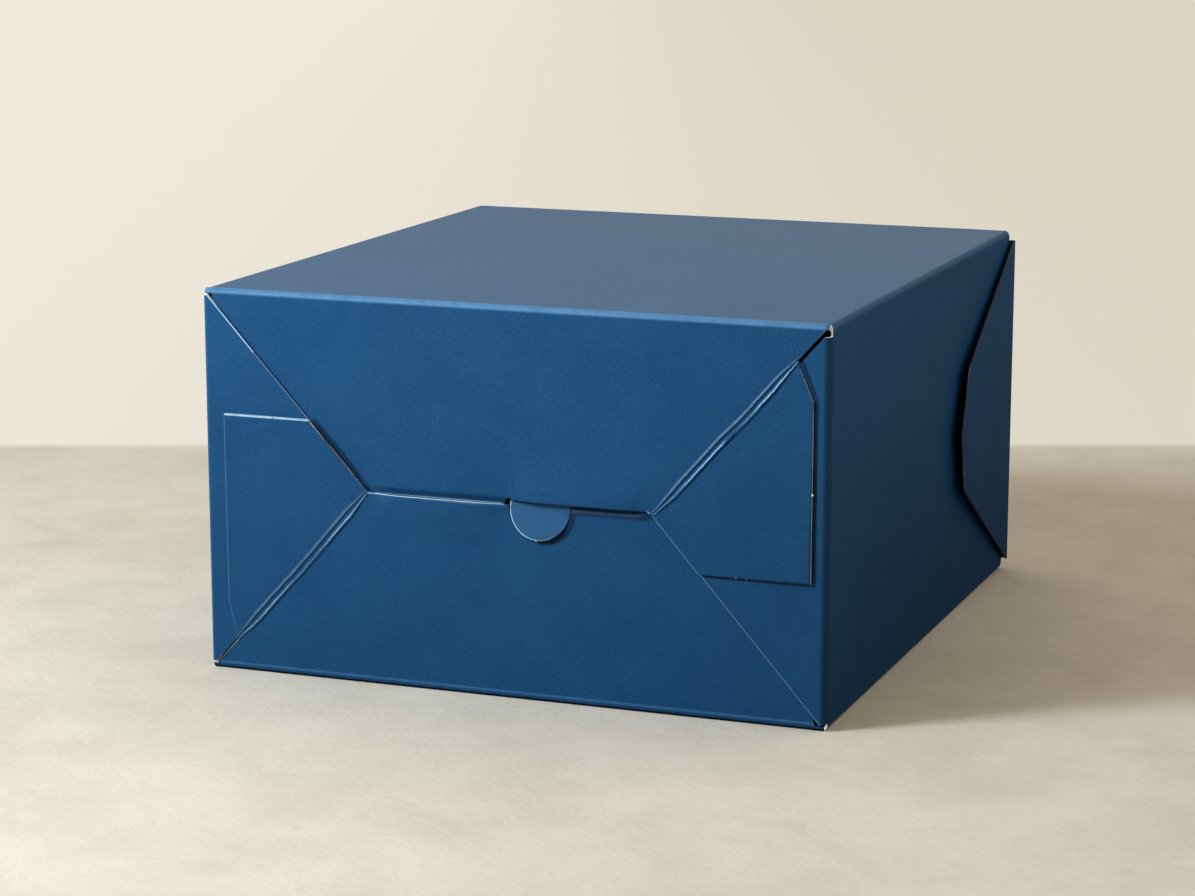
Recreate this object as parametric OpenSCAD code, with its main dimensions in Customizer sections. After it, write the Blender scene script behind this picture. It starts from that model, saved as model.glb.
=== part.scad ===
// Folding carton with an auto-lock bottom, lying on one long wall.
// The locked bottom faces -Y, the tuck lid closes the +Y end, and Z points up.
// Sizes are in millimetres.

/* [Box] */
// Outside width of the carton, along X
box_w = 200; // [180:1:240]
// Outside height of the carton as it lies, along Z
box_h = 120; // [112:1:140]
// Length from the glue flaps of the bottom to the crease of the lid, along Y
box_l = 218; // [150:1:300]
// Thickness of the board
board = 0.6; // [0.45:0.05:0.8]
// Outside radius of every main fold
fold_r = 1.6; // [1.4:0.1:2.2]
// Slot between two folds that meet at a corner
corner_relief = 0.2; // [0.1:0.1:0.6]

/* [Auto-lock bottom] */
// Height of the lock line, where the two large flaps meet
lock_z = 60.8; // [57:0.1:63]
// Distance from the side wall to the inner end of the upper diagonal crease
upper_crease_run = 53.8; // [50:0.1:60]
// Distance from the side wall to the inner end of the lower diagonal crease
lower_crease_run = 54.5; // [50:0.1:60]
// Half width of the pressed band along a diagonal crease
crease_half = 2.2; // [1.8:0.1:2.6]
// Height of the pressed ridges along a diagonal crease
ridge_h = 0.3; // [0.1:0.05:0.4]
// Run of the corner slot, measured along the hinge fold
slot_run = 9.7; // [8:0.1:12]
// Width of the corner slot beside the upper large flap
upper_slot_w = 1; // [0.3:0.1:1.4]
// Width of the corner slot beside the lower large flap
lower_slot_w = 0.25; // [0.1:0.05:1]
// Distance from each end of a bottom hinge fold to the side wall
hinge_margin = 0.5; // [0.3:0.1:1.5]
// Cut-back of the upper large flap at its plain corner
upper_notch = 1; // [0.5:0.1:3]
// Cut-back of the lower large flap at its plain corner
lower_notch = 1.8; // [0.5:0.1:4]
// Length of the glue flap on the upper large flap, from its hinge fold
upper_glue_len = 75.8; // [70:0.1:82]
// Length of the glue flap on the lower large flap, from its hinge fold
lower_glue_len = 81.5; // [74:0.1:86]
// Margin between the upper large flap's glue flap and the side wall
upper_glue_margin = 4.7; // [4:0.1:8]
// Margin between the lower large flap's glue flap and the side wall
lower_glue_margin = 6.9; // [4:0.1:8]
// Distance from a hinge fold to the foot of a glue flap's long edge
glue_foot = 22.5; // [18:0.5:28]
// Distance between the free edges of the two large flaps
lock_gap = 1.2; // [0.8:0.1:1.6]
// Length of each tucked lobe past the lock line
lobe_len = 18; // [12:0.5:22]
// Distance from the middle of the box to the start of a tucked lobe
lobe_clear = 1; // [0.6:0.1:2]
// Distance from a side wall to the far edge of a tucked lobe
lobe_margin = 14; // [10:0.5:20]
// Radius at the free corners of a tucked lobe
lobe_r = 6; // [3:0.5:8]
// Length over which a large flap steps down under the other one
step_run = 2.6; // [1.6:0.1:3]
// Air between a tucked lobe and the large flap in front of it
lobe_air = 0.3; // [0.1:0.05:0.5]
// Air between a small flap and the large flap behind it
ply_gap = 0.1; // [0.05:0.05:0.2]
// Height by which the far corner of a glue flap springs up
glue_lift = 0.5; // [0.2:0.1:0.8]
// Blunt end of a small flap, measured back from the crease's inner end
tip_cut = 4.5; // [3:0.5:8]

/* [Thumb tongue] */
// Radius of the half-moon tongue in the lower large flap
tongue_r = 9.7; // [8:0.1:12]
// Sideways distance from the middle of the box to the start of the tongue
tongue_shift = 0.8; // [0:0.1:2]
// Distance from the free edge above it down to the tongue's centre
tongue_drop = 1.7; // [1:0.1:3]
// Height by which the tongue's tip stands out of its flap
tongue_lift = 1.4; // [0.3:0.1:1.5]
// Width of the cut round the tongue
tongue_kerf = 0.3; // [0.2:0.05:0.6]
// Radius of the relief hole where the two large flaps cross
relief_r = 1.05; // [0.8:0.05:1.4]
// Sideways shift of the relief hole from the start of the tongue
relief_shift = 0.3; // [0:0.1:1]
// Distance from the upper flap's free edge to the centre of the relief hole
relief_rise = 0.35; // [0.1:0.05:0.6]

/* [Side flaps] */
// Length of a side flap, from its crease to its free edge
flap_len = 76; // [60:1:88]
// Length of a side flap at its upper knee
flap_knee_len = 66; // [52:1:72]
// Height of the upper knee
flap_knee_z = 83; // [74:0.5:86]
// Height at which a side flap is longest
flap_mid_z = 62; // [57:0.5:68]
// Length of a side flap at its lower knee
flap_low_len = 71; // [60:1:76]
// Height of the lower knee
flap_low_z = 43; // [34:0.5:46]
// Radius of the lower knee
flap_knee_r = 7; // [3:0.5:8]
// Distance from the end of the crease to the box's top or floor
flap_end = 3.4; // [3:0.1:5]
// Air inside the fold of a side flap that is folded flat back
fold_air = 1.5; // [1:0.1:2.5]
// Angle by which a folded side flap springs away from the wall
flap_spring = 1.4; // [0.5:0.1:3]

/* [Lid] */
// Clearance between the lid and each side wall
lid_clear = 0.6; // [0.4:0.1:1.2]
// Clearance between the lid's lower fold and the floor panel
tuck_clear = 0.4; // [0.3:0.1:0.8]
// Length of the tuck-in tongue of the lid
tuck_len = 16; // [12:0.5:20]
// Angle by which the tuck-in tongue rises from the floor panel
tuck_rise = 4.5; // [4:0.5:8]
// Distance from the end of the lid to the end of its tongue
tuck_inset = 2.5; // [2:0.5:6]
// Radius at the free corners of the tuck-in tongue
tuck_corner_r = 9; // [4:0.5:11]
// Outside radius of the tongue's fold
tuck_fold_r = 1.6; // [1.2:0.1:2]
// Gap along the crease between a moving flap and the fold that carries it
crease_gap = 0.12; // [0.1:0.01:0.2]

/* [Side seam] */
// Width of the glued seam strip
seam_w = 15; // [10:1:20]
// Distance from each end of the box to the seam strip
seam_end = 6; // [5:1:15]
// Slant at each end of the seam strip
seam_slant = 5; // [2:0.5:8]
// Height of the outer wall's raw edge over the floor at the seam
seam_edge = 0.3; // [0.2:0.1:0.6]

/* [Hidden] */
$fn = 64;
// Depth by which one shape runs into the next one of the same sheet
overlap = 0.5;
big = 400;
// Ends of the box along Y
front_y = -box_l / 2;
rear_y = box_l / 2;
mid = box_w / 2;
// Depth of the outer face of each ply behind the front: glue flaps at their crease, small flaps,
// large flaps and tucked lobes
glue_d = glue_lift;
small_d = glue_d + board;
large_d = small_d + board + ply_gap;
lobe_d = large_d + board + lobe_air;
// Distance from a diagonal crease over which a glue flap springs up
lift_run = 48;
// The four walls run straight from here to the rear
wall_y = front_y + large_d + fold_r;
// Ends of the folds that meet at a corner
fold_end = fold_r + corner_relief;
// Distance from each hinge fold to the lock line
lower_reach = lock_z;
upper_reach = box_h - lock_z;
// Steps in each bend of a pressed band or of a step between plies
bend_steps = 6;
// Outside radius of the flat-back fold, and the line on which a side flap turns
hairpin_r = fold_air / 2 + board;
hinge_x = mid + fold_air + board;
hinge_y = rear_y - hairpin_r;
// Lid measures
lid_half = mid - board - lid_clear;
tuck_z = board + tuck_clear;
tuck_half = lid_half - tuck_inset;
carton_colour = [0.10, 0.28, 0.46];
flap_colour = [0.13, 0.31, 0.49];
lid_colour = [0.11, 0.30, 0.48];

// Cosine ease from a to b, for u from 0 to 1
function ease(a, b, u) = a + (b - a) * (1 - cos(180 * u)) / 2;

// A smooth line through the given [position, depth] points
function bend_line(pts) = concat(
    [for (i = [0 : len(pts) - 2], k = [0 : bend_steps - 1])
        let (u = k / bend_steps)
        [pts[i][0] + (pts[i + 1][0] - pts[i][0]) * u, ease(pts[i][1], pts[i + 1][1], u)]],
    [pts[len(pts) - 1]]);

// Section of the board along such a line, one board thick
function ply_section(line) = concat(
    line,
    [for (i = [len(line) - 1 : -1 : 0]) [line[i][0], line[i][1] + board]]);

// Place along the hinge of a point that lies p beside a crease and r from the hinge
function beside_crease(a, p, r) = (r - p / cos(a)) / tan(a);

// Pressed band between a large flap and its glue flap: ridge, valley, rise and groove
ridge_at = -crease_half * 0.7;
valley_at = -crease_half * 0.35;
rise_at = crease_half * 0.4;
groove_at = crease_half * 0.7;
groove_h = ridge_h * 0.5;
crease_points = [
    [-crease_half - big, large_d],
    [-crease_half, large_d],
    [ridge_at, large_d - ridge_h],
    [valley_at, large_d - ridge_h * 0.3],
    [rise_at, glue_d],
    [groove_at, glue_d + groove_h],
    [crease_half, glue_d],
    [crease_half + lift_run, 0],
    [crease_half + big, 0]];

// A flat outline in X and Z as one ply at the given depth behind the front
module ply(depth) {
    translate([0, front_y + depth + board, 0])
        rotate([90, 0, 0])
            linear_extrude(board)
                children();
}

// An outline in X and Z cut right through all plies of the bottom
module die_cut() {
    translate([0, front_y + lobe_d + 3 * board, 0])
        rotate([90, 0, 0])
            linear_extrude(lobe_d + 5 * board)
                children();
}

// A section in Y and Z drawn out along X from x0 to x1
module along_x(x0, x1) {
    translate([x0, 0, 0])
        rotate([90, 0, 90])
            linear_extrude(x1 - x0)
                children();
}

// A section in X and Z drawn out along Y from y0 to y1
module along_y(y0, y1) {
    translate([0, y1, 0])
        rotate([90, 0, 0])
            linear_extrude(y1 - y0)
                children();
}

// A section in X and Y drawn out along Z from z0 to z1
module along_z(z0, z1) {
    translate([0, 0, z0])
        linear_extrude(z1 - z0)
            children();
}

// Ring section of a fold, kept in the sector from angle a0 to a1
module fold_section(r, a0, a1) {
    reach = 2 * r;
    steps = ceil((a1 - a0) / 45);
    intersection() {
        difference() {
            circle(r);
            circle(r - board);
        }
        polygon(concat([[0, 0]], [for (i = [0 : steps])
            let (a = a0 + (a1 - a0) * i / steps)
            [reach * cos(a), reach * sin(a)]]));
    }
}

// Large flap: its hinge fold, its sheet, the pressed diagonal crease and its glue flap.
// Drawn with the crease at the low end of X and the hinge fold at Z = 0.
module large_flap(reach, run, glue_len, margin, notch) {
    a = atan2(reach, run);
    edge_r = reach - lock_gap / 2;
    step_r1 = reach + lock_gap / 2;
    step_r0 = step_r1 - step_run;
    slot_r = slot_run * tan(a);
    band = crease_half + overlap;
    slot_end = [slot_run, slot_r];
    band_low = [slot_run + crease_half * sin(a), slot_r - crease_half * cos(a)];
    band_top = [beside_crease(a, -crease_half, edge_r), edge_r];
    diagonal = (box_h - reach) / run;

    along_x(hinge_margin, box_w - hinge_margin)
        translate([front_y + large_d + fold_r, fold_r])
            fold_section(fold_r, 180, 270);
    ply(large_d)
        polygon([
            [fold_end, fold_r],
            [box_w - fold_end - notch, fold_r],
            [box_w - lobe_margin, step_r0],
            [mid + lobe_clear, step_r0],
            [mid + lobe_clear, edge_r],
            band_top,
            band_low,
            slot_end]);
    intersection() {
        translate([big / 2 * cos(a), front_y, big / 2 * sin(a)])
            rotate([0, -90 - a, 0])
                linear_extrude(big)
                    polygon(ply_section(bend_line(crease_points)));
        die_cut()
            polygon([
                slot_end,
                [slot_run + band * sin(a), slot_r - band * cos(a)],
                [beside_crease(a, -band, edge_r), edge_r],
                band_top,
                [run, reach],
                [(box_h - glue_len) / diagonal, glue_len],
                [margin, glue_len],
                [margin, glue_foot]]);
    }
    intersection() {
        along_x(mid, box_w)
            translate([front_y, 0])
                mirror([1, -1])
                    polygon(ply_section(bend_line([
                        [step_r0 - big, large_d],
                        [step_r0, large_d],
                        [step_r1, lobe_d],
                        [step_r1 + big, lobe_d]])));
        die_cut()
            lobe_outline(step_r0 - overlap, reach + lobe_len);
    }
}

// Outline of the lobe that tucks behind the other large flap
module lobe_outline(r0, r1) {
    x0 = mid + lobe_clear;
    x1 = box_w - lobe_margin;
    difference() {
        polygon([[x0, r0], [x1, r0], [x1, r1], [x0 + lobe_r, r1], [x0, r1 - 2 * lobe_r]]);
        translate([x1 - lobe_r, r1 - lobe_r])
            difference() {
                square(2 * lobe_r);
                circle(lobe_r);
            }
    }
}

// Small flap with its side fold, in the same frame as the large flap whose glue flap covers it
module small_flap(reach, run, slot_w) {
    a = atan2(reach, run);
    diagonal = (box_h - reach) / run;
    beside = (crease_half + ply_gap) / cos(a);
    tip_x = run - tip_cut;
    low_r = fold_r * tan(a) + slot_w / cos(a);
    high_r = box_h - fold_end * diagonal;
    ply(small_d)
        polygon([
            [fold_r, low_r],
            [slot_run - corner_relief, (slot_run - corner_relief) * tan(a) + slot_w / cos(a)],
            [slot_run, slot_run * tan(a) + beside],
            [tip_x, tip_x * tan(a) + beside],
            [tip_x, box_h - tip_x * diagonal],
            [fold_end, high_r],
            [fold_r, high_r]]);
    along_z(low_r + corner_relief, high_r - corner_relief)
        union() {
            translate([fold_r, front_y + small_d + fold_r])
                fold_section(fold_r, 180, 270);
            translate([0, front_y + small_d + fold_r])
                square([board, large_d - small_d + overlap]);
        }
}

// Places a half of the bottom that is drawn for the lower left corner
module at_lower_left() {
    translate([-mid, 0, 0])
        children();
}

// Places a half of the bottom at the upper right corner, turned half round
module at_upper_right() {
    translate([mid, 0, box_h])
        rotate([0, 180, 0])
            children();
}

// Cut that frees the half-moon tongue, up to the height where the tongue hangs
module tongue_cut(r, top) {
    intersection() {
        translate([mid + tongue_shift + tongue_r, lower_reach + lock_gap / 2 - tongue_drop])
            circle(r);
        translate([0, top - big])
            square([box_w, big]);
    }
}

// Half-moon tongue: it hangs from the tucked lobe and springs out at its tip
module thumb_tongue() {
    edge_r = lower_reach + lock_gap / 2;
    top = edge_r + corner_relief;
    fall = top - (edge_r - tongue_drop - tongue_r);
    tilt = atan2(lobe_d - large_d + tongue_lift, fall);
    intersection() {
        translate([0, front_y + lobe_d, top])
            rotate([-tilt, 0, 0])
                translate([0, 0, -big])
                    cube([box_w, board, big + overlap]);
        die_cut()
            tongue_cut(tongue_r, top + overlap);
    }
}

// Lower large flap with the half-moon tongue cut in it
module lower_flap() {
    top = lower_reach + lock_gap / 2 + corner_relief;
    difference() {
        large_flap(lower_reach, lower_crease_run, lower_glue_len, lower_glue_margin, lower_notch);
        die_cut()
            tongue_cut(tongue_r + tongue_kerf, top);
    }
    thumb_tongue();
}

// Upper large flap with the relief hole at the crossing
module upper_flap() {
    difference() {
        large_flap(upper_reach, upper_crease_run, upper_glue_len, upper_glue_margin, upper_notch);
        die_cut()
            translate([mid - tongue_shift + relief_shift, upper_reach - lock_gap / 2 + relief_rise])
                circle(relief_r);
    }
}

// The four walls with three long folds and the glued seam at the lower left
module walls() {
    fold_y = rear_y - fold_end;
    top_y = rear_y - fold_r;
    along_y(wall_y, top_y)
        translate([-mid + fold_r, box_h - board])
            square([box_w - 2 * fold_r, board]);
    along_y(wall_y, rear_y)
        translate([-mid + board + fold_r, 0])
            square([box_w - board - 2 * fold_r, board]);
    along_y(wall_y, hinge_y)
        translate([mid - board, fold_r])
            square([board, box_h - 2 * fold_r]);
    along_y(wall_y, hinge_y)
        translate([-mid, seam_edge])
            square([board, box_h - fold_r - seam_edge]);
    along_y(wall_y, fold_y)
        union() {
            translate([mid - fold_r, box_h - fold_r])
                fold_section(fold_r, 0, 90);
            translate([mid - fold_r, fold_r])
                fold_section(fold_r, 270, 360);
            translate([-mid + fold_r, box_h - fold_r])
                fold_section(fold_r, 90, 180);
            translate([-mid + board + fold_r, fold_r])
                fold_section(fold_r, 180, 270);
        }
    seam_strip();
}

// Seam strip: it stands up from the floor panel, glued inside the left wall
module seam_strip() {
    y0 = wall_y + seam_end;
    y1 = rear_y - fold_end - seam_end;
    translate([-mid + board, 0, 0])
        rotate([90, 0, 90])
            linear_extrude(board)
                polygon([
                    [wall_y, fold_r],
                    [rear_y - fold_end, fold_r],
                    [y1, fold_r + seam_slant],
                    [y1 - seam_slant, seam_w],
                    [y0 + seam_slant, seam_w],
                    [y0, fold_r + seam_slant]]);
}

// Fold that carries a side flap, turned flat back outside the right wall
module right_hairpin() {
    along_z(flap_end, box_h - flap_end)
        translate([mid + fold_air / 2, hinge_y])
            fold_section(hairpin_r, 0, 180);
}

// Fold of the top panel that carries the lid
module lid_fold() {
    along_x(-mid + fold_end, mid - fold_end)
        translate([rear_y - fold_r, box_h - fold_r])
            fold_section(fold_r, 0, 90);
}

module carton() {
    color(carton_colour)
        union() {
            walls();
            at_lower_left()
                lower_flap();
            at_lower_left()
                small_flap(lower_reach, lower_crease_run, lower_slot_w);
            at_upper_right()
                upper_flap();
            at_upper_right()
                small_flap(upper_reach, upper_crease_run, upper_slot_w);
            lid_fold();
            right_hairpin();
            mirror([1, 0, 0])
                right_hairpin();
        }
}

// Flat outline of a side flap: X is the distance from its crease, Y is its height
module flap_outline() {
    slope = atan2(flap_low_z - flap_end, flap_low_len - crease_gap);
    back = flap_knee_r * tan((90 - slope) / 2);
    c = [flap_low_len - flap_knee_r, flap_low_z + back];
    foot = [c[0] + flap_knee_r * sin(slope), c[1] - flap_knee_r * cos(slope)];
    union() {
        polygon([
            [crease_gap, flap_end],
            foot,
            c,
            [flap_low_len, c[1]],
            [flap_len, flap_mid_z],
            [flap_knee_len, flap_knee_z],
            [crease_gap, box_h - flap_end]]);
        intersection() {
            translate(c)
                circle(flap_knee_r);
            polygon([c, foot, [flap_low_len + back, foot[1]], [flap_low_len + back, c[1]]]);
        }
    }
}

// Side flap of the right wall, folded flat back outside it
module right_flap() {
    color(flap_colour)
        translate([hinge_x, hinge_y, 0])
            rotate([0, 0, flap_spring])
                rotate([90, 0, -90])
                    linear_extrude(board)
                        flap_outline();
}

module left_flap() {
    mirror([1, 0, 0])
        right_flap();
}

// Lid: rear panel, its lower fold and the tuck-in tongue
module lid() {
    c = [rear_y - tuck_fold_r, tuck_z + tuck_fold_r];
    color(lid_colour)
        union() {
            along_x(-lid_half, lid_half)
                translate([rear_y - board, c[1]])
                    square([board, box_h - fold_r - crease_gap - c[1]]);
            along_x(-tuck_half, tuck_half)
                translate(c)
                    fold_section(tuck_fold_r, -90 - tuck_rise, 0);
            intersection() {
                along_x(-tuck_half, tuck_half)
                    translate(c)
                        rotate(-tuck_rise)
                            translate([-tuck_len, -tuck_fold_r])
                                square([tuck_len, board]);
                along_z(0, box_h / 2)
                    tuck_outline();
            }
        }
}

// Plan of the tuck-in tongue, with its two round corners
module tuck_outline() {
    free_y = rear_y - tuck_fold_r - tuck_len;
    translate([-tuck_half + tuck_corner_r, free_y])
        square([2 * (tuck_half - tuck_corner_r), tuck_len + tuck_fold_r]);
    translate([-tuck_half, free_y + tuck_corner_r])
        square([2 * tuck_half, tuck_len + tuck_fold_r - tuck_corner_r]);
    for (side = [-1, 1])
        translate([side * (tuck_half - tuck_corner_r), free_y + tuck_corner_r])
            circle(tuck_corner_r);
}

carton();
lid();
right_flap();
left_flap();
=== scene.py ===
import math
import random

import bmesh
import bpy
from bpy.props import FloatProperty, FloatVectorProperty, PointerProperty
from mathutils import Matrix, Vector
from mathutils.bvhtree import BVHTree


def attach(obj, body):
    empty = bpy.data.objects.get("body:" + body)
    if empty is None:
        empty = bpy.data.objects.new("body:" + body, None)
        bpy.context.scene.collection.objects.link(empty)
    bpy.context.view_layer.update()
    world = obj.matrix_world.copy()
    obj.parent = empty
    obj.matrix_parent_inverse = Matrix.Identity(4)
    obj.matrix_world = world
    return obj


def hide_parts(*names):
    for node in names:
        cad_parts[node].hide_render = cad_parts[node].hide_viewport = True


bl_info = {
    "name": "Auto-lock bottom box",
    "version": (1, 0, 0),
    "blender": (4, 5, 0),
    "location": "3D View > Sidebar > Box",
    "description": "Dresses a folding carton with printed board, raw cut edges and torn nicks",
    "category": "Object",
}

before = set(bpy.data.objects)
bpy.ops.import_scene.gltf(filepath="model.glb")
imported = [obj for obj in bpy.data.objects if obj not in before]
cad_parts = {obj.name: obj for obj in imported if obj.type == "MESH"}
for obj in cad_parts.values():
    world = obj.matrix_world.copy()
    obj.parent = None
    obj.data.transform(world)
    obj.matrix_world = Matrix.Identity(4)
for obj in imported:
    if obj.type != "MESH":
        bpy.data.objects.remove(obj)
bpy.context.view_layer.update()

# The carton's measures, in metres, in the same frame as the solids
HALF_W = 0.1
HEIGHT = 0.12
FRONT_Y = -0.109
REAR_Y = 0.109
LOCK_Z = 0.0608
LOWER_RUN = 0.0545
UPPER_RUN = 0.0538
LOCK_GAP = 0.0012
LARGE_DEPTH = 0.0018
BOARD = 0.0006
TONGUE_X = 0.0105
TONGUE_Z = 0.0597
TONGUE_R = 0.0097
SLOT_RUN = 0.0097
LOWER_MARGIN = 0.0069
GLUE_FOOT = 0.0225
LOWER_GLUE_LEN = 0.0815
FOLD = 0.0016
CREASE_HALF = 0.0022
RIDGE = 0.0003
GLUE_DEPTH = 0.0005

# What the material draws on the bottom: how deep its plies lie, where the ridges of a pressed
# crease start and run together, and where the upper crease's lit ridge breaks off
PLY_DEPTH = 0.0029
RIDGE_START = 0.013
RIDGE_TAPER = 0.012
BREAK_ALONG = 0.0437
BREAK_REACH = 0.0065


def linear(colour):
    """A colour written as on screen, turned into linear light for a shader socket."""
    turned = [c / 12.92 if c <= 0.04045 else ((c + 0.055) / 1.055) ** 2.4 for c in colour[:3]]
    return (*turned, 1.0)


class Wire:
    """A node socket that can be used in plain arithmetic."""

    def __init__(self, weave, socket):
        self.weave = weave
        self.socket = socket

    def _maths(self, operation, *terms):
        return self.weave.node("ShaderNodeMath", {"operation": operation}, terms)

    def __add__(self, other):
        return self._maths("ADD", self, other)

    def __radd__(self, other):
        return self._maths("ADD", other, self)

    def __sub__(self, other):
        return self._maths("SUBTRACT", self, other)

    def __rsub__(self, other):
        return self._maths("SUBTRACT", other, self)

    def __mul__(self, other):
        return self._maths("MULTIPLY", self, other)

    def __truediv__(self, other):
        return self._maths("DIVIDE", self, other)

    def __abs__(self):
        return self._maths("ABSOLUTE", self)

    def root(self):
        return self._maths("SQRT", self)

    def least(self, other):
        return self._maths("MINIMUM", self, other)

    def most(self, other):
        return self._maths("MAXIMUM", self, other)


class Weave:
    """The node tree of one material or world."""

    def __init__(self, owner):
        owner.use_nodes = True
        self.tree = owner.node_tree
        self.tree.nodes.clear()

    def node(self, kind, settings=None, inputs=(), out=0):
        """Makes one node: its settings first, then a value or a link for each of its sockets."""
        made = self.tree.nodes.new(kind)
        for name, value in (settings or {}).items():
            setattr(made, name, value)
        pairs = inputs.items() if isinstance(inputs, dict) else enumerate(inputs)
        for key, value in pairs:
            socket = made.inputs[key]
            if isinstance(value, Wire):
                self.tree.links.new(value.socket, socket)
            else:
                socket.default_value = value
        self.last = made
        return Wire(self, made.outputs[out]) if made.outputs else None

    def place(self):
        """Object coordinates, and their X, Y and Z."""
        self.node("ShaderNodeTexCoord")
        point = Wire(self, self.last.outputs["Object"])
        self.node("ShaderNodeSeparateXYZ", None, [point])
        return [point, *(Wire(self, s) for s in self.last.outputs)]

    def noise(self, point, scale, detail=2.0, roughness=0.5, distortion=0.0):
        return self.node("ShaderNodeTexNoise", None, {
            "Vector": point, "Scale": scale, "Detail": detail,
            "Roughness": roughness, "Distortion": distortion})

    def step(self, value, low, high, to_low=0.0, to_high=1.0):
        """A smooth step of value between low and high."""
        return self.node("ShaderNodeMapRange", {"interpolation_type": "SMOOTHSTEP"}, {
            "Value": value, "From Min": low, "From Max": high, "To Min": to_low, "To Max": to_high})

    def length(self, first, second):
        """Length of a line with these two legs."""
        return (first * first + second * second).root()

    def near(self, distance, reach):
        """1 where the distance is nought, falling to 0 at reach."""
        return self.step(distance, 0.0, reach, 1.0, 0.0)

    def blend(self, share, first, second, kind="RGBA"):
        """A mix of two colours, or of two normals where the kind is VECTOR."""
        start, out = (6, 2) if kind == "RGBA" else (4, 1)
        pair = {0: share, start: first, start + 1: second}
        return self.node("ShaderNodeMix", {"data_type": kind}, pair, out)

    def round_edge(self, radius):
        """A normal that rounds the object's edges over a small radius."""
        return self.node("ShaderNodeBevel", {"samples": 8}, {"Radius": radius})

    def bump(self, height, normal=None):
        """A bump from a height in metres, over a given normal."""
        sockets = {"Strength": 1.0, "Distance": 1.0, "Height": height}
        if normal is not None:
            sockets["Normal"] = normal
        return self.node("ShaderNodeBump", None, sockets)

    def surface(self, **sockets):
        """The Principled shader on the material's output."""
        shader = self.node("ShaderNodeBsdfPrincipled", None, sockets)
        self.node("ShaderNodeOutputMaterial", None, {"Surface": shader})


def crease_place(x, z, turned):
    """Distance along one diagonal crease, and across it towards the lower right."""
    reach, run = (HEIGHT - LOCK_Z, UPPER_RUN) if turned else (LOCK_Z, LOWER_RUN)
    across_x = HALF_W - x if turned else x + HALF_W
    across_z = HEIGHT - z if turned else z
    length = math.hypot(reach, run)
    cos_a, sin_a = run / length, reach / length
    along = across_x * cos_a + across_z * sin_a
    across = across_z * cos_a - across_x * sin_a if turned else across_x * sin_a - across_z * cos_a
    return along, across, length


def stroke(weave, x, z, start, end, reach):
    """1 along a straight line on the front, falling to 0 at reach beside it."""
    run, rise = end[0] - start[0], end[1] - start[1]
    length = math.hypot(run, rise)
    cos_a, sin_a = run / length, rise / length
    out, up = x - start[0], z - start[1]
    along = abs(out * cos_a + up * sin_a - length / 2)
    across = abs(up * cos_a - out * sin_a)
    return weave.near(across, reach) * weave.step(along, length / 2 - reach, length / 2 + reach, 1.0, 0.0)


def strokes(weave, x, z, lines):
    """The strongest of several straight lines, each with its start, end, reach and strength."""
    total = None
    for start, end, reach, strength in lines:
        mark = stroke(weave, x, z, start, end, reach) * strength
        total = mark if total is None else total.most(mark)
    return total


def lit_edge_lines(weave, x, z):
    """Painted highlights along the die-cut edges of the bottom that face the light."""
    left, right = -HALF_W + LOWER_MARGIN, HALF_W - FOLD
    lock = LOCK_Z - LOCK_GAP / 2
    slope = (HEIGHT - LOCK_Z) / LOWER_RUN
    top_end = (HEIGHT - LOWER_GLUE_LEN) / slope - HALF_W
    slot = (SLOT_RUN - HALF_W, SLOT_RUN * LOCK_Z / LOWER_RUN)
    crossing = HALF_W - UPPER_RUN
    return strokes(weave, x, z, (
        # The left glue flap: its top, its long edge and its foot
        ((left, LOWER_GLUE_LEN - 0.0001), (top_end, LOWER_GLUE_LEN - 0.0001), 0.0004, 0.8),
        ((left + 0.0001, LOWER_GLUE_LEN), (left + 0.0001, GLUE_FOOT), 0.00020, 0.16),
        ((left + 0.0001, GLUE_FOOT), slot, 0.00022, 0.10),
        # The corner slots on the left, the lower one and then the upper one in two lengths
        ((FOLD - HALF_W, 0.0016), (slot[0] + 0.0002, slot[1] - 0.0002), 0.0004, 0.7),
        ((-0.0984, HEIGHT - 0.0021), (-0.083, HEIGHT - 0.0189), 0.0003, 0.8),
        ((-0.083, HEIGHT - 0.0189), (top_end - 0.0002, LOWER_GLUE_LEN), 0.0002, 0.25),
        # The lock line's left half, and the corner where its right half ends
        ((LOWER_RUN - HALF_W, lock - 0.0001), (-0.001, lock - 0.0001), 0.00024, 0.7),
        ((0.0447, 0.0615), (crossing, LOCK_Z - 0.0004), 0.0003, 0.5),
        # The lower large flap's plain edge, down to the right
        ((crossing + 0.0002, LOCK_Z), (right, 0.0021), 0.00014, 0.30),
    ))


def gap_shades(weave, x, z):
    """Painted shade in the gaps and painted shadows cast by raised edges: lock line, left glue flap's slant,
    tongue and right glue flap.
    """
    lines = strokes(weave, x, z, (
        ((0.0012, 0.0601), (0.0449, 0.0600), 0.0021, 2.2),
        ((0.0961, 0.0985), (0.0955, 0.0445), 0.0013, 1.5),
        ((0.0917, 0.1092), (0.0960, 0.0987), 0.0009, 1.5),
        ((0.0625, 0.0437), (0.0950, 0.0441), 0.0009, 1.2),
    ))
    taper = weave.step(abs(x + 0.0555), 0.0015, 0.0105, 1.0, 0.3)
    slant = stroke(weave, x, z, (-0.0635, 0.0815), (-0.0448, 0.0612), 0.0014) * 2.0 * taper
    # Painted shadow that the tongue casts to its lower right
    cast_x, cast_z = 0.0017, -0.0012
    shifted = weave.length(x - TONGUE_X - cast_x, z - TONGUE_Z - cast_z) - TONGUE_R
    tongue = weave.step(shifted, -0.0002, 0.0004, 1.0, 0.0) * weave.step(z, 0.0590, 0.0600, 1.0, 0.0)
    return lines.most(slant).most(tongue).least(1.0)


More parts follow.
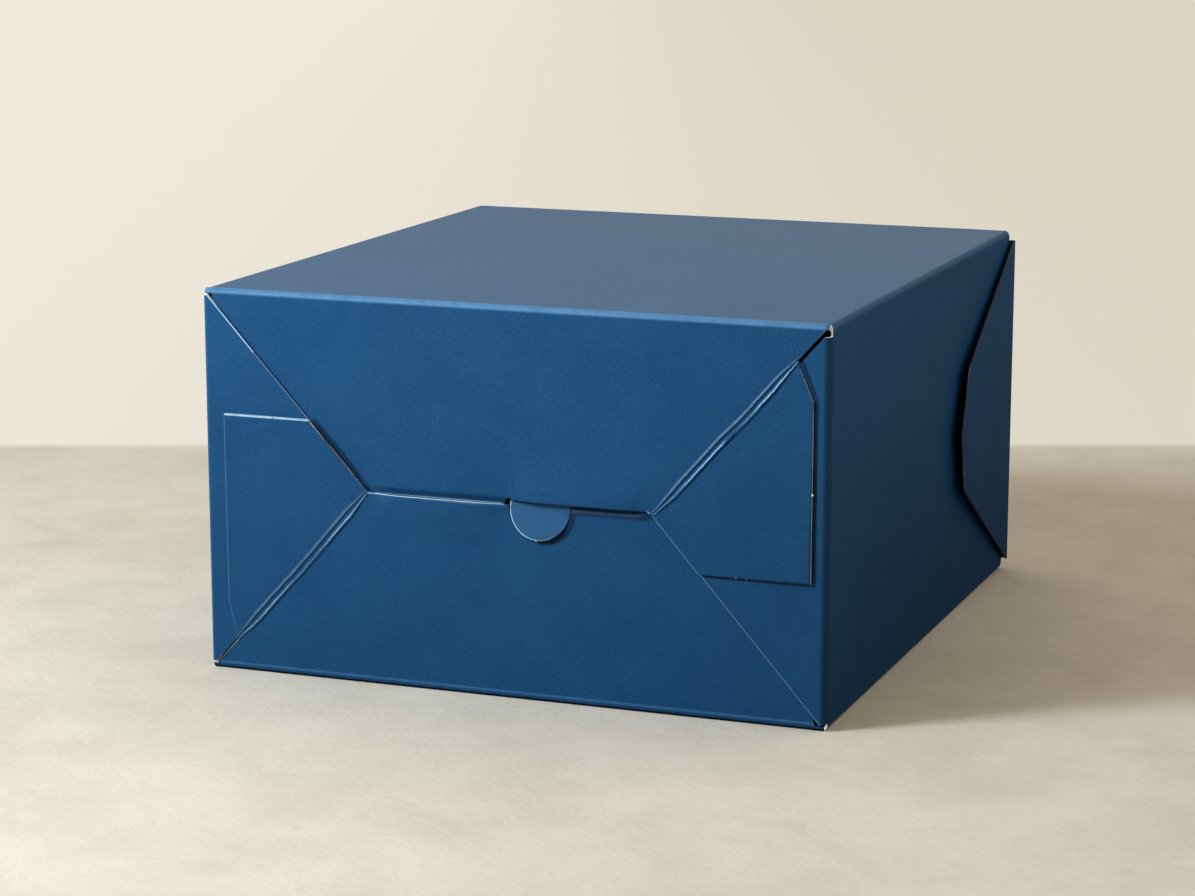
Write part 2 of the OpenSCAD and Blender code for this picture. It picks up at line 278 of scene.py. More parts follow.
def pressed_creases(weave, props, x, z, noises):
    """Height and pale line of the two diagonal creases, each with a dull ridge and a lit one.

    The pale line is cracked ink and a painted highlight, strong on the lit ridge and faint on the dull one.
    The ridges run together at both ends, and the upper crease's lit one breaks off halfway.
    """
    bend, fibre, grain = noises
    wander = (bend - 0.5) * 0.0016 + (fibre - 0.5) * 0.0005
    press, cracks_and_highlight = None, None
    for turned in (False, True):
        along, across, length = crease_place(x, z, turned)
        start, end = RIDGE_START, length + 0.0004
        squeeze = weave.step(along, start, start + RIDGE_TAPER, 0.4, 1.0)
        squeeze = squeeze * weave.step(along, end - RIDGE_TAPER, end, 1.0, 0.4)
        span = weave.step(along, start, start + 0.002) * weave.step(along, end - 0.002, end, 1.0, 0.0)
        place = (across + wander * span) / squeeze
        dull = weave.step(place, -0.0015, -0.0007) - weave.step(place, -0.0006, 0.0001)
        lit = weave.step(place, 0.0005, 0.0011) - weave.step(place, 0.0014, 0.0023)
        swell = weave.step(bend, 0.42, 0.56, 0.55, 1.0)
        shape = (dull * props.press * 0.6 + lit * props.press * swell) * span
        bright = weave.near(abs(place - 0.0010), 0.00034) * weave.step(bend, 0.40, 0.52, 0.3, 1.0)
        if turned:
            broken = weave.near(abs(along - BREAK_ALONG), BREAK_REACH) * 1.6
            bright = bright * (1.0 - weave.step(broken, 0.0, 1.0))
        faint = weave.near(abs(place + 0.0009), 0.0006) * 0.2
        mark = bright.most(faint) * span
        press = shape if press is None else press + shape
        cracks_and_highlight = mark if cracks_and_highlight is None else cracks_and_highlight.most(mark)
    return press, cracks_and_highlight * weave.step(grain, 0.30, 0.55, 0.5, 1.0) * props.crack_and_highlight_strength


def fold_rub_and_highlight(weave, props, x, z, front, bottom, fibre):
    """Rubbed ink and painted highlight on the folds: the top of the front most, the others a little.

    The front's top fold is rubbed and gets a painted highlight, its left fold and its foot get a painted
    highlight only, and the long folds of the top and the rear folds are rubbed.
    """
    reach = props.fold_wear_width
    side, floor = HALF_W - abs(x), z.least(HEIGHT - z)
    rear = REAR_Y - FRONT_Y - front
    crest_rub_and_highlight = weave.step(z, HEIGHT - 0.0019, HEIGHT - 0.0009) * weave.step(front, 0.0034, 0.0050, 1.0, 0.0)
    long_fold = weave.near(side, reach) * weave.near(HEIGHT - z, reach) * 0.3
    left_fold_highlight = weave.near(x + HALF_W, 0.0016) * weave.near(front, 0.005) * 0.5
    back_fold = weave.near(floor, reach) * weave.near(rear, reach) * 0.5
    foot_fold_highlight = weave.near(abs(z - 0.0022), 0.0006) * bottom * 0.45
    fold = crest_rub_and_highlight.most(long_fold).most(left_fold_highlight).most(foot_fold_highlight.most(back_fold))
    return fold * weave.step(fibre, 0.36, 0.62, 0.75, 1.0) * props.fold_wear_and_highlight


def printed_board(props):
    """Printed, varnished blue board: mottle, rubbed folds, pressed creases, painted highlights and painted
    shade.
    """
    material = bpy.data.materials.new("printed_board")
    weave = Weave(material)
    point, x, y, z = weave.place()
    mottle = weave.noise(point, 45.0, 3.0, 0.55)
    grain = weave.noise(point, 1500.0, 3.0, 0.62)
    speck = weave.noise(point, 3600.0, 2.0, 0.6)
    fibre = weave.noise(point, 240.0, 5.0, 0.68, 0.8)
    bend = weave.noise(point, 38.0, 2.0, 0.5)
    side, floor, front = HALF_W - abs(x), z.least(HEIGHT - z), y - FRONT_Y

    # Printed faces that look to the front, the bottom's plies among them, and the thumb tongue
    weave.node("ShaderNodeNewGeometry")
    weave.node("ShaderNodeSeparateXYZ", None, [Wire(weave, weave.last.outputs["True Normal"])])
    facing = weave.step(Wire(weave, weave.last.outputs["Y"]), -0.5, -0.3, 1.0, 0.0)
    bottom = facing * weave.step(front, PLY_DEPTH, 0.0033, 1.0, 0.0)
    rim = weave.length(x - TONGUE_X, z - TONGUE_Z) - TONGUE_R
    tongue = bottom * weave.step(rim, 0.0, 0.0001, 1.0, 0.0)
    tongue = tongue * weave.step(z, LOCK_Z, LOCK_Z + LOCK_GAP / 2, 1.0, 0.0)

    # The ink: fine mottle; painted shade towards the floor, stronger on the side walls and a little towards
    # the right; painted highlight on the tongue; rubbed ink and painted highlight on the folds
    share = weave.step(grain, 0.42, 0.74, 0.0, 0.30) + weave.step(mottle, 0.3, 0.75, 0.0, 0.12)
    share = share + weave.step(speck, 0.58, 0.80, 0.0, 0.24)
    colour = weave.blend(share, linear(props.ink), linear(props.pale_ink))
    # Painted shade: darker towards the floor, stronger on the side walls, a little darker towards the right
    # of the front
    wall = weave.step(side, 0.0004, 0.0012, 2.2, 1.0)
    low = weave.step(z, 0.0, HEIGHT, props.low_shade, 0.0) * wall
    low = low + weave.step(x, 0.0, HALF_W, 0.0, 0.1) * facing
    colour = weave.blend(low, colour, linear(props.shade_blue))
    # Painted highlight on the thumb tongue, which tilts up towards the light
    colour = weave.blend(tongue * 0.10, colour, linear(props.worn_and_lit_ink))
    # Rubbed ink on the folds, with painted highlight on the folds that face the light
    rub_and_highlight = fold_rub_and_highlight(weave, props, x, z, front, bottom, fibre)
    colour = weave.blend(rub_and_highlight, colour, linear(props.worn_and_lit_ink))

    # Painted shade in the gaps and on the right fold first, then cracked creases with painted highlights on
    # lit ridges and die-cut edges, then the painted contact shadow
    press, cracks_and_highlight = pressed_creases(weave, props, x, z, (bend, fibre, grain))
    # Painted highlights on the lit die-cut edges and on the tongue's left rim
    tongue_rim_highlight = weave.near(abs(rim + 0.0002), 0.00024) * weave.step(x, 0.004, 0.018, 0.7, 0.0)
    lines = lit_edge_lines(weave, x, z).most(tongue_rim_highlight * tongue) * weave.step(fibre, 0.3, 0.5, 0.75, 1.0)
    # Painted shade in the gaps and painted shadows beside the raised edges and the tongue
    deep = gap_shades(weave, x, z) * (1.0 - tongue) * bottom * 0.85
    # Painted shade on the front's right fold, which turns away from the light
    corner = weave.step(x, HALF_W - 0.0021, HALF_W - 0.0014) * weave.step(front, 0.0036, 0.0046, 0.5, 0.0)
    colour = weave.blend(deep.most(corner), colour, linear(props.shade_blue))
    colour = weave.blend(cracks_and_highlight.most(lines) * bottom, colour, linear(props.cracked_and_lit_ink))
    outside = weave.step(side, 0.0016, 0.0024, 1.0, 0.0).most(bottom)
    # Painted contact shadow, near black, along the foot of the box
    contact_shadow = weave.step(z, 0.0005, 0.0012, 0.94, 0.0) * outside
    colour = weave.blend(contact_shadow, colour, (0.0, 0.0, 0.0, 1.0))

    # The front's plies read as flat sheets, apart from the tongue and the edges that spring up
    flat = bottom * weave.step(side, 0.0018, 0.0026) * weave.step(floor, 0.0018, 0.0026)
    sprung = weave.step(abs(z - LOCK_Z), 0.012, 0.018, 1.0, 0.0)
    sprung = sprung * weave.step(abs(x), 0.040, 0.045, 1.0, 0.0)
    flat = flat * (1.0 - sprung) * (1.0 - tongue)
    normal = weave.blend(flat, weave.round_edge(props.edge_round), (0.0, -1.0, 0.0), "VECTOR")
    height = (grain - 0.5) * 1.3e-5 + (speck - 0.5) * 7e-6 + (mottle - 0.5) * 1.6e-4
    height = height + (fibre - 0.5) * rub_and_highlight * 3e-5 + press * bottom
    roughness = 0.42 + weave.step(grain, 0.35, 0.75, 0.0, 0.10) + rub_and_highlight * 0.06
    weave.surface(**{
        "Base Color": colour,
        "Roughness": roughness,
        "Normal": weave.bump(height, normal),
        "IOR": 1.5,
        "Specular IOR Level": props.varnish,
    })
    return material


def raw_edge(props):
    """The cut edge of the board: a grey fibrous core between two printed skins."""
    material = bpy.data.materials.new("raw_edge")
    weave = Weave(material)
    point, x, y, z = weave.place()
    fibre = weave.noise(point, 1500.0, 4.0, 0.7, 0.6)
    patch = weave.noise(point, 160.0, 2.0, 0.5)
    share = weave.step(fibre, 0.35, 0.68, 0.0, 0.6) + weave.step(patch, 0.35, 0.7, 0.0, 0.4)
    colour = weave.blend(share.least(1.0), linear(props.core_dark), linear(props.core_light))

    # White where the corner slots end; painted shade on the cut edges deep in the gaps of the bottom and on
    # the side flaps
    front, side, floor = y - FRONT_Y, HALF_W - abs(x), z.least(HEIGHT - z)
    slots = weave.near(side, 0.006) * weave.near(floor, 0.006) * weave.near(front, 0.008)
    colour = weave.blend((slots * 2.0).least(0.9), colour, linear(props.core_white))
    deep = weave.step(front, 0.0007, 0.0011) * weave.step(front, 0.0038, 0.0046, 1.0, 0.0)
    deep = deep * weave.step(side, 0.003, 0.006) * weave.step(floor, 0.002, 0.004)
    outer = weave.step(side, -0.0008, -0.0004, 1.0, 0.0)
    colour = weave.blend(deep.most(outer) * 0.85, colour, linear(props.shade_blue))
    height = (fibre - 0.5) * 5e-5
    weave.surface(**{
        "Base Color": colour,
        "Roughness": 0.9 - share * 0.1,
        "Normal": weave.bump(height),
        "Specular IOR Level": 0.2,
    })
    return material


def floor_finish(props):
    """Pale plaster floor, with a cream backdrop beyond a straight line that glows as painted light."""
    material = bpy.data.materials.new("floor_plaster")
    weave = Weave(material)
    point, x, y, z = weave.place()
    broad = weave.noise(point, 5.0, 4.0, 0.6)
    patch = weave.noise(point, 26.0, 5.0, 0.65, 0.4)
    speck = weave.noise(point, 420.0, 3.0, 0.6)
    share = weave.step(broad, 0.3, 0.7, 0.0, 0.45) + weave.step(patch, 0.35, 0.7, 0.0, 0.4)
    share = share + weave.step(speck, 0.5, 0.8, 0.0, 0.3)
    colour = weave.blend(share.least(1.0), linear(props.floor_light), linear(props.floor_dark))
    height = (patch - 0.5) * 8e-4 + (speck - 0.5) * 1.6e-4
    plaster = weave.node("ShaderNodeBsdfPrincipled", None, {
        "Base Color": colour, "Roughness": 0.8, "Normal": weave.bump(height),
        "Specular IOR Level": 0.25})
    turn = math.radians(props.camera_azimuth)
    depth = y * math.cos(turn) - x * math.sin(turn)
    across = x * math.cos(turn) + y * math.sin(turn)
    # The backdrop glows as painted light, a little brighter on the left where the lamp falls
    wall = weave.blend(weave.step(across, -0.4, 0.35), linear(props.wall_left), linear(props.wall_right))
    glow = weave.node("ShaderNodeEmission", None, {"Color": wall, "Strength": 1.0})
    weave.node("ShaderNodeLightPath")
    path = weave.last
    seen = Wire(weave, path.outputs["Is Camera Ray"]).most(Wire(weave, path.outputs["Is Transmission Ray"]))
    # Gloss sees the floor near black: a painted dark reflection
    dim = weave.node("ShaderNodeBsdfDiffuse", None, {"Color": (0.06, 0.06, 0.06, 1.0)})
    glossy = Wire(weave, path.outputs["Is Glossy Ray"])
    plaster = weave.node("ShaderNodeMixShader", None, [glossy, plaster, dim])
    beyond = weave.step(depth, props.backdrop - 0.004, props.backdrop + 0.012) * seen
    mixed = weave.node("ShaderNodeMixShader", None, [beyond, plaster, glow])
    weave.node("ShaderNodeOutputMaterial", None, {"Surface": mixed})
    return material


def smooth(value):
    """0 to 1 with soft ends."""
    value = min(max(value, 0.0), 1.0)
    return value * value * (3.0 - 2.0 * value)


def spring_lock_edges(work, height):
    """Lifts the free edge of each large flap where it lies over the other one's tucked lobe."""
    reach = 0.018
    root, ease_in, ease_out = 0.0009, 0.008, 0.005
    edge = LOCK_GAP / 2
    rows = [edge + d for d in (0.0, 0.0012, 0.0025, 0.004, 0.006, 0.0085, 0.0115, 0.0145, reach)]
    columns = [0.0015, 0.003, 0.005, 0.0075, 0.011, 0.018, 0.026, 0.034, 0.039, 0.042, 0.045, 0.05, 0.056]
    cuts = [((0, 0, LOCK_Z + side * d), (0, 0, 1)) for d in rows[1:] for side in (-1, 1)]
    cuts += [((side * d, 0, 0), (1, 0, 0)) for d in columns for side in (-1, 1)]
    for at, normal in cuts:
        near = [f for f in work.faces
                if LARGE_DEPTH - 0.0002 < f.calc_center_median().y - FRONT_Y < LARGE_DEPTH + BOARD + 0.0004
                and abs(f.normal.y) > 0.9 and abs(f.calc_center_median().x) < HALF_W - 0.012]
        edges = {e for f in near for e in f.edges}
        verts = {v for f in near for v in f.verts}
        bmesh.ops.bisect_plane(work, geom=[*verts, *edges, *near], dist=1e-7, plane_co=at, plane_no=normal)
    for vert in work.verts:
        depth = vert.co.y - FRONT_Y
        if not LARGE_DEPTH - 0.0001 < depth < LARGE_DEPTH + BOARD + 0.0001:
            continue
        upper = vert.co.z > LOCK_Z
        side = 1.0 if upper else -1.0
        run_in, flap_height = (UPPER_RUN, HEIGHT - LOCK_Z) if upper else (LOWER_RUN, LOCK_Z)
        slope = flap_height / run_in
        run = vert.co.x * side
        rise = (vert.co.z - LOCK_Z) * side - edge
        if run < root or rise < -0.0001 or rise > reach:
            continue
        to_crease = (HALF_W - run_in + (rise + edge) / slope - run) * slope / math.hypot(1.0, slope)
        share = smooth((run - root) / ease_in) * smooth((to_crease - CREASE_HALF) / ease_out)
        vert.co.y -= height * share * (1.0 - smooth(rise / reach))


def pressed_depth(across):
    """Depth of the sheet beside a crease, as the solid has it, across towards the glue flap."""
    points = [(-CREASE_HALF, LARGE_DEPTH), (-CREASE_HALF * 0.7, LARGE_DEPTH - RIDGE),
              (-CREASE_HALF * 0.35, LARGE_DEPTH - RIDGE * 0.3), (CREASE_HALF * 0.4, GLUE_DEPTH),
              (CREASE_HALF * 0.7, GLUE_DEPTH + RIDGE * 0.5), (CREASE_HALF, GLUE_DEPTH)]
    for (a, low), (b, high) in zip(points, points[1:]):
        if across <= b:
            share = (1 - math.cos(math.pi * (across - a) / (b - a))) / 2
            return low + (high - low) * share
    return GLUE_DEPTH


def ease_creases(work):
    """Spreads the step of each pressed crease evenly over its band; the material draws the ridges."""
    for vert in work.verts:
        depth = vert.co.y - FRONT_Y
        turned = vert.co.x > 0
        along, across, length = crease_place(vert.co.x, vert.co.z, turned)
        if not turned:
            across = -across
        if abs(across) > CREASE_HALF + 1e-6 or not 0.008 < along < length + 0.002:
            continue
        was = pressed_depth(max(across, -CREASE_HALF))
        for skin in (0.0, BOARD):
            if abs(depth - was - skin) < 0.00004:
                share = (across + CREASE_HALF) / (2 * CREASE_HALF)
                vert.co.y = FRONT_Y + skin + LARGE_DEPTH + (GLUE_DEPTH - LARGE_DEPTH) * share
                break


def dressed_copy(node, name, printed, raw, spring=0.0):
    """A merged copy of a CAD node, with its cut edges told from its printed faces."""
    work = bmesh.new()
    work.from_mesh(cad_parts[node].data)
    bmesh.ops.remove_doubles(work, verts=work.verts, dist=1e-7)
    bmesh.ops.dissolve_degenerate(work, edges=work.edges, dist=1e-7)
    work.normal_update()
    if spring:
        spring_lock_edges(work, spring)
        ease_creases(work)
        work.normal_update()
    tree = BVHTree.FromBMesh(work)
    through, skin = 0.002, 2e-5
    for face in work.faces:
        face.smooth = True
        inward = -face.normal
        middle = face.calc_center_median()
        found = tree.ray_cast(middle + inward * skin, inward, through)
        face.material_index = 0 if found[0] is not None else 1
    mesh = bpy.data.meshes.new(name)
    work.to_mesh(mesh)
    work.free()
    mesh.materials.append(printed)
    mesh.materials.append(raw)
    mesh.set_sharp_from_angle(angle=math.radians(34.0))
    piece = bpy.data.objects.new(name, mesh)
    bpy.context.scene.collection.objects.link(piece)
    even = piece.modifiers.new("flat_panels", "WEIGHTED_NORMAL")
    even.mode = "FACE_AREA"
    even.weight = 100
    even.keep_sharp = True
    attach(piece, node)
    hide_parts(node)
    return piece


def torn_nick(name, body, at, outward, along, size, seed, skin):
    """A tiny torn tab where the sheet was held in the cutting die."""
    narrowing, ragged = 0.45, 0.09
    rng = random.Random(seed)
    work = bmesh.new()
    bmesh.ops.create_cube(work, size=1.0)
    bmesh.ops.subdivide_edges(work, edges=work.edges, cuts=2, use_grid_fill=True)
    for vert in work.verts:
        taper = 1.0 - narrowing * (vert.co.z + 0.5)
        vert.co.x *= taper
        vert.co.y *= taper
        vert.co += Vector((rng.uniform(-1, 1), rng.uniform(-1, 1), rng.uniform(-1, 1))) * ragged
    axes = {"use_axis_x": True, "use_axis_y": True, "use_axis_z": True}
    bmesh.ops.smooth_vert(work, verts=work.verts, factor=0.4, **axes)
    bmesh.ops.scale(work, verts=work.verts, vec=Vector(size))
    out = Vector(outward).normalized()
    run = Vector(along).normalized()
    third = out.cross(run)
    turn = Matrix((run, third, out)).transposed().to_4x4()
    bmesh.ops.transform(work, matrix=Matrix.Translation(Vector(at)) @ turn, verts=work.verts)
    bmesh.ops.recalc_face_normals(work, faces=work.faces)
    for face in work.faces:
        face.smooth = True
    mesh = bpy.data.meshes.new(name)
    work.to_mesh(mesh)
    work.free()
    mesh.materials.append(skin)
    piece = bpy.data.objects.new(name, mesh)
    bpy.context.scene.collection.objects.link(piece)
    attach(piece, body)
    return piece


class BoxFinish(bpy.types.PropertyGroup):
    """Colours and wear of the board, and its painted highlights and painted shade."""

    ink: FloatVectorProperty(
        name="Ink", description="Blue of the printed board",
        subtype="COLOR_GAMMA", size=3, min=0, max=1, default=(0.05, 0.240, 0.392))
    pale_ink: FloatVectorProperty(
        name="Pale ink", description="Lighter blue of the mottle",
        subtype="COLOR_GAMMA", size=3, min=0, max=1, default=(0.15, 0.355, 0.505))
    # Blue of the rubbed folds, and of the painted highlights on the lit folds and the tongue
    worn_and_lit_ink: FloatVectorProperty(
        name="Worn ink", description="Blue where the folds are rubbed",
        subtype="COLOR_GAMMA", size=3, min=0, max=1, default=(0.34, 0.53, 0.68))
    # Pale blue of the cracked ink, and of the painted highlights on lit crease ridges and die-cut edges
    cracked_and_lit_ink: FloatVectorProperty(
        name="Cracked ink", description="Pale line where a crease cracks the ink",
        subtype="COLOR_GAMMA", size=3, min=0, max=1, default=(0.66, 0.82, 0.92))
    # Colour of the painted shade and painted shadows on the board and its cut edges
    shade_blue: FloatVectorProperty(
        name="Deep ink", description="Darkest blue, in the gaps and towards the floor",
        subtype="COLOR_GAMMA", size=3, min=0, max=1, default=(0.0, 0.125, 0.225))
    # Share of the painted shade towards the floor
    low_shade: FloatProperty(
        name="Low shade", description="Share of the deep ink at the floor", default=0.26, min=0, max=1,
        subtype="FACTOR")
    press: FloatProperty(
        name="Crease press", description="Height of the ridges pressed along a diagonal crease",
        default=0.0008, min=0, max=0.003, unit="LENGTH", subtype="DISTANCE")
    core_white: FloatVectorProperty(
        name="White core", description="Bare fibres at the ends of the corner slots",
        subtype="COLOR_GAMMA", size=3, min=0, max=1, default=(0.95, 0.95, 0.93))
    core_light: FloatVectorProperty(
        name="Light core", description="Lighter fibres of a cut edge",
        subtype="COLOR_GAMMA", size=3, min=0, max=1, default=(0.80, 0.80, 0.77))
    core_dark: FloatVectorProperty(
        name="Dark core", description="Darker fibres of a cut edge",
        subtype="COLOR_GAMMA", size=3, min=0, max=1, default=(0.50, 0.47, 0.43))
    # Strength of the rubbed ink and of the painted highlight on the folds
    fold_wear_and_highlight: FloatProperty(
        name="Fold wear", description="How much the ink is rubbed on the folds", default=0.55, min=0, max=1,
        subtype="FACTOR")
    fold_wear_width: FloatProperty(
        name="Fold wear width", description="Reach of the rubbed band beside a fold", default=0.0030,
        min=0.001, max=0.01, unit="LENGTH", subtype="DISTANCE")
    # Strength of the cracked ink and of its painted highlight along the creases
    crack_and_highlight_strength: FloatProperty(
        name="Crack strength", description="How pale the cracked ink is", default=0.62, min=0, max=1,
        subtype="FACTOR")
    varnish: FloatProperty(
        name="Varnish", description="Specular level of the varnish",
        default=0.14, min=0, max=1, subtype="FACTOR")
    edge_round: FloatProperty(
        name="Edge round", description="Rounding of the die-cut edges", default=0.0004, min=0, max=0.002,
        unit="LENGTH", subtype="DISTANCE")
    edge_spring: FloatProperty(
        name="Edge spring", description="Height by which the free edges along the lock line spring up",
        default=0.0012, min=0, max=0.0015, unit="LENGTH", subtype="DISTANCE")


class BoxStage(bpy.types.PropertyGroup):
    """Floor, backdrop, lamps and camera."""

    floor_light: FloatVectorProperty(
        name="Floor light", description="Lighter plaster",
        subtype="COLOR_GAMMA", size=3, min=0, max=1, default=(0.75, 0.73, 0.68))
    floor_dark: FloatVectorProperty(
        name="Floor dark", description="Darker plaster",
        subtype="COLOR_GAMMA", size=3, min=0, max=1, default=(0.67, 0.65, 0.60))
    # Painted light of the glowing backdrop, brighter on the lit left side and dimmer on the far side
    wall_left: FloatVectorProperty(
        name="Backdrop left", description="Backdrop on the lit side",
        subtype="COLOR_GAMMA", size=3, min=0, max=1, default=(0.93, 0.91, 0.86))
    wall_right: FloatVectorProperty(
        name="Backdrop right", description="Backdrop on the far side",
        subtype="COLOR_GAMMA", size=3, min=0, max=1, default=(0.865, 0.835, 0.77))
    camera_azimuth: FloatProperty(
        name="Camera azimuth", description="Camera's turn to the right of the front, in degrees",
        default=20.84, min=-180, max=180)
    camera_elevation: FloatProperty(
        name="Camera elevation", description="Camera's height above the horizon, in degrees",
        default=11.636, min=0, max=89)
    camera_roll: FloatProperty(
        name="Camera roll", description="Camera's roll, in degrees", default=-0.025, min=-10, max=10)
    camera_place: FloatVectorProperty(
        name="Camera place", description="Where the camera stands",
        size=3, unit="LENGTH", subtype="TRANSLATION", default=(0.3481, -0.9455, 0.2641))
    lens: FloatProperty(
        name="Lens", description="Focal length in millimetres", default=93.88, min=10, max=300)
    backdrop: FloatProperty(
        name="Backdrop distance", description="Distance from the box's middle to the backdrop's line",
        default=0.276, min=0.1, max=2, unit="LENGTH", subtype="DISTANCE")
    key_power: FloatProperty(
        name="Key power", description="Power of the key lamp", default=33.5, min=0, max=500, unit="POWER")
    near_power: FloatProperty(
        name="Soft box power", description="Power of the soft box over the front's upper left corner",
        default=1.1, min=0, max=20, unit="POWER")
    fill: FloatProperty(
        name="Fill", description="Strength of the soft light all round", default=0.69, min=0, max=3)
    dark_side: FloatProperty(
        name="Dark side", description="Strength of the room behind the camera, as gloss shows it",
        default=0.12, min=0, max=1)


class BOX_OT_stage(bpy.types.Operator):
    """Floor, backdrop, soft light and the camera at the photographed angle"""

    bl_idname = "box.stage"
    bl_label = "Stage"

    def execute(self, context):
        props = context.scene.box_stage
        scene = context.scene
        scene.view_settings.view_transform = "Standard"

        work = bmesh.new()
        bmesh.ops.create_grid(work, x_segments=1, y_segments=1, size=6.0)
        mesh = bpy.data.meshes.new("floor")
        work.to_mesh(mesh)
        work.free()
        mesh.materials.append(floor_finish(props))
        floor = bpy.data.objects.new("floor", mesh)
        scene.collection.objects.link(floor)

        world = bpy.data.worlds.new("studio")
        scene.world = world
        weave = Weave(world)
        weave.node("ShaderNodeLightPath")
        path = weave.last
        seen = Wire(weave, path.outputs["Is Camera Ray"]).most(Wire(weave, path.outputs["Is Glossy Ray"]))
        seen = seen.most(Wire(weave, path.outputs["Is Transmission Ray"]))
        camera_ray = Wire(weave, path.outputs["Is Camera Ray"])
        weave.node("ShaderNodeTexCoord")
        weave.node("ShaderNodeSeparateXYZ", None, [Wire(weave, weave.last.outputs["Generated"])])
        aside, ahead, above = (Wire(weave, weave.last.outputs[axis]) for axis in ("X", "Y", "Z"))

        # Gloss sees a bright room beyond the box on the left, and a dark one behind the camera
        room = weave.step(ahead, -0.3, 0.6, props.dark_side, 1.75)
        room = room * weave.step(aside, -0.35, 0.45, 1.0, 0.1) * weave.step(above, 0.06, 0.30, 1.0, 0.4)

        # The soft light is strong and almost plain low on the right, and weaker and warm elsewhere
        beside = weave.step(aside, 0.0, 0.8) * weave.step(above, 0.0, 0.6, 1.0, 0.1)
        soft = weave.node("ShaderNodeBackground", None, {
            "Color": weave.blend(beside, (1.0, 0.88, 0.72, 1.0), (1.08, 0.97, 0.97, 1.0)),
            "Strength": (weave.step(above, 0.0, 0.9, 0.55, 1.35) * weave.step(ahead, -0.6, 0.6, 0.5, 1.2)
                         + beside * 2.7) * props.fill})
        shown = weave.node("ShaderNodeBackground", None, {
            "Color": (0.80, 0.87, 0.82, 1.0), "Strength": room.most(camera_ray * 0.85)})
        sky = weave.node("ShaderNodeMixShader", None, [seen, soft, shown])
        weave.node("ShaderNodeOutputWorld", None, {"Surface": sky})

        aim, key_distance = Vector((0.0, 0.0, HEIGHT / 2)), 1.7
        key = bpy.data.lights.new("key", "AREA")
        key.shape = "DISK"
        key.size = 0.40
        key.energy = props.key_power
        key.color = (0.86, 0.95, 1.07)
        towards = Vector((-0.653, -0.592, 0.47)).normalized()
        self.lamp(scene, key, aim + towards * key_distance, aim)

        soft_box = bpy.data.lights.new("soft_box", "AREA")
        soft_box.shape = "DISK"
        soft_box.size = 0.35
        soft_box.energy = props.near_power
        soft_box.color = (0.9, 0.96, 1.0)
        self.lamp(scene, soft_box, Vector((-0.25, -0.36, 0.40)), Vector((-0.04, FRONT_Y, 0.1)))

        camera = bpy.data.cameras.new("camera")
        camera.lens = props.lens
        camera.sensor_width = 36.0
        eye = bpy.data.objects.new("camera", camera)
        scene.collection.objects.link(eye)
        az, el = math.radians(props.camera_azimuth), math.radians(props.camera_elevation)
        back = Vector((math.sin(az) * math.cos(el), -math.cos(az) * math.cos(el), math.sin(el)))
        right = (-back).cross(Vector((0, 0, 1))).normalized()
        up = back.cross(right)
        turn = Matrix((right, up, back)).transposed().to_4x4()
        roll = Matrix.Rotation(math.radians(props.camera_roll), 4, "Z")
        eye.matrix_world = Matrix.Translation(Vector(props.camera_place)) @ turn @ roll
        scene.camera = eye
        return {"FINISHED"}

    def lamp(self, scene, light, place, aim):
        made = bpy.data.objects.new(light.name, light)
        scene.collection.objects.link(made)
        made.location = place
        made.rotation_euler = (aim - place).to_track_quat("-Z", "Y").to_euler()


class BOX_OT_board(bpy.types.Operator):
    """Printed board and raw cut edges on the carton, its lid and its side flaps"""

    bl_idname = "box.board"
    bl_label = "Board"

    def execute(self, context):
        props = context.scene.box_finish
        printed = printed_board(props)
        raw = raw_edge(props)
        for node in ("carton", "lid", "right_flap", "left_flap"):
            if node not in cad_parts:
                raise RuntimeError(f"the frame has no node named {node}")
            spring = props.edge_spring if node == "carton" else 0.0
            dressed_copy(node, f"{node}_board", printed, raw, spring)
        return {"FINISHED"}


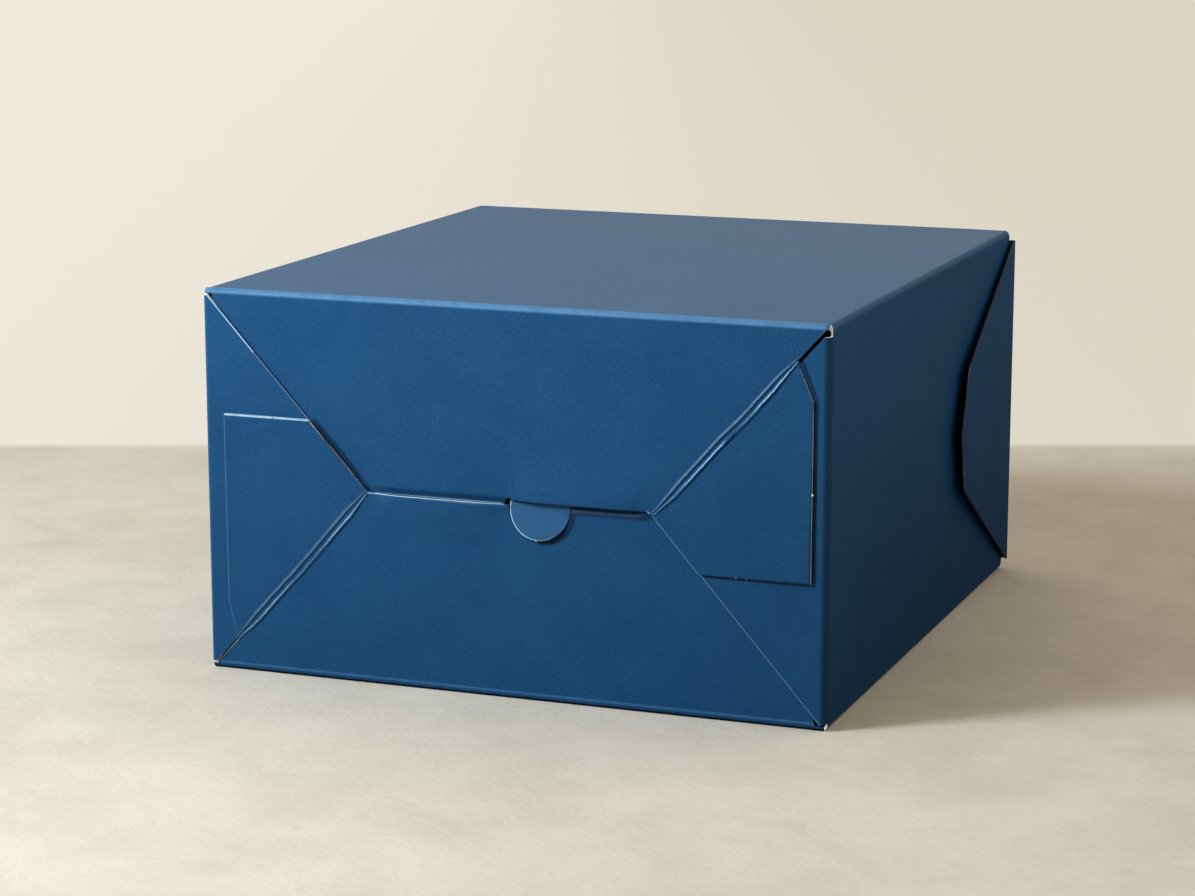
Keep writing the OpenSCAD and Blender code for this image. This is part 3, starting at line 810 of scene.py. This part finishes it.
class BOX_OT_nicks(bpy.types.Operator):
    """Torn nicks on the die-cut edges"""

    bl_idname = "box.nicks"
    bl_label = "Torn nicks"

    def execute(self, context):
        skin = bpy.data.materials["raw_edge"]
        top, down = (0, 0, 1), (0, 0, -1)
        x, y = (1, 0, 0), (0, -1, 0)
        places = (
            ("nick_left_glue_flap", (-0.0766, FRONT_Y + 0.0002, 0.0815), top, x, (0.0009, 0.0005, 0.0005)),
            ("nick_right_glue_flap", (0.0955, FRONT_Y + 0.0004, 0.0706), x, top, (0.0008, 0.0005, 0.0006)),
            ("nick_glue_flap_foot_a", (0.0726, FRONT_Y + 0.0004, 0.0442), down, x, (0.0007, 0.0005, 0.0004)),
            ("nick_glue_flap_foot_b", (0.0758, FRONT_Y + 0.0004, 0.0442), down, x, (0.0006, 0.0005, 0.0004)),
            ("nick_lock_line", (0.0183, FRONT_Y + 0.0012, 0.0614), down, x, (0.0011, 0.0005, 0.0005)),
            ("nick_tongue_side", (0.0200, FRONT_Y + 0.0019, 0.0588), x, top, (0.0012, 0.0005, 0.0006)),
            ("nick_tongue_tip", (0.0098, FRONT_Y + 0.0008, 0.0500), down, x, (0.0008, 0.0005, 0.0007)),
        )
        for i, (name, at, out, along, size) in enumerate(places):
            torn_nick(name, "carton", at, out, along, size, 11 + i, skin)
        return {"FINISHED"}


class BOX_PT_panel(bpy.types.Panel):
    """Steps that dress the box"""

    bl_idname = "BOX_PT_panel"
    bl_label = "Auto-lock bottom box"
    bl_space_type = "VIEW_3D"
    bl_region_type = "UI"
    bl_category = "Box"

    def draw(self, context):
        column = self.layout.column()
        for step in STEPS:
            column.operator(step.bl_idname)
        for group in (context.scene.box_finish, context.scene.box_stage):
            for name in group.__annotations__:
                column.prop(group, name)


STEPS = (BOX_OT_stage, BOX_OT_board, BOX_OT_nicks)
CLASSES = (BoxFinish, BoxStage, *STEPS, BOX_PT_panel)


def register():
    for made in CLASSES:
        bpy.utils.register_class(made)
    bpy.types.Scene.box_finish = PointerProperty(type=BoxFinish)
    bpy.types.Scene.box_stage = PointerProperty(type=BoxStage)


def unregister():
    del bpy.types.Scene.box_stage
    del bpy.types.Scene.box_finish
    for made in reversed(CLASSES):
        bpy.utils.unregister_class(made)


def main():
    register()
    bpy.ops.box.stage()
    bpy.ops.box.board()
    bpy.ops.box.nicks()


if __name__ == "__main__":
    main()
